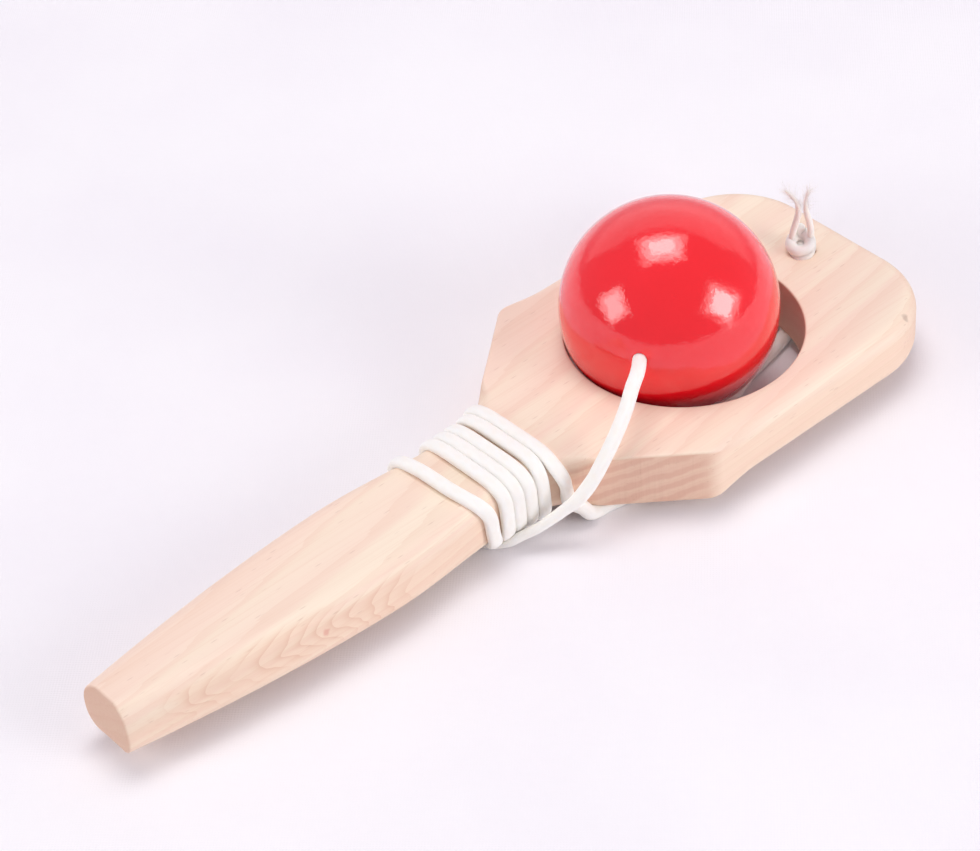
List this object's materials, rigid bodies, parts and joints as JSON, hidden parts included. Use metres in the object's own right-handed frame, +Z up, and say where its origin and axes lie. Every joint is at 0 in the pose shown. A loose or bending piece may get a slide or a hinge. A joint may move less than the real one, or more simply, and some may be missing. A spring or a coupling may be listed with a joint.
{
  "type": "cup and ball toy",
  "caption": "Flat wooden catch paddle with a round hole in its head, a drilled ball sitting in the hole, and a cotton cord that ties the ball to the tip and is wound round the neck.",
  "frame": {"origin": "on the table, under the middle of the paddle's length and width", "axes": "+X along the paddle from the butt to the tip, +Y across the head, +Z up from the table"},
  "size_m": [0.2154, 0.071, 0.05],
  "materials": {
    "beech": "bare sanded beech",
    "lacquer": "glossy red lacquer over turned wood",
    "cotton": "off-white cotton cord"
  },
  "bodies": {
    "paddle": {"paddle": "beech", "cord_winding": "cotton", "cord_under_run": "cotton", "tip_knot": "cotton", "tip_tail": "cotton", "ball_lead": "cotton"},
    "cord_end": {"cord_in_ball": "cotton", "ball_knot": "cotton"},
    "ball": {"ball": "lacquer"}
  },
  "joints": [
    {"name": "ball_lift", "type": "slide", "parent": "paddle", "child": "cord_end", "axis": [0, 0, 1], "range_m": [0, 0.02], "deforming": ["ball_lead"]},
    {"name": "ball_turn", "type": "hinge", "parent": "cord_end", "child": "ball", "pos_m": [0.05257, 0.00103, 0.025], "axis": [-0.8466, -0.5087, 0.1564], "continuous": true}
  ]
}
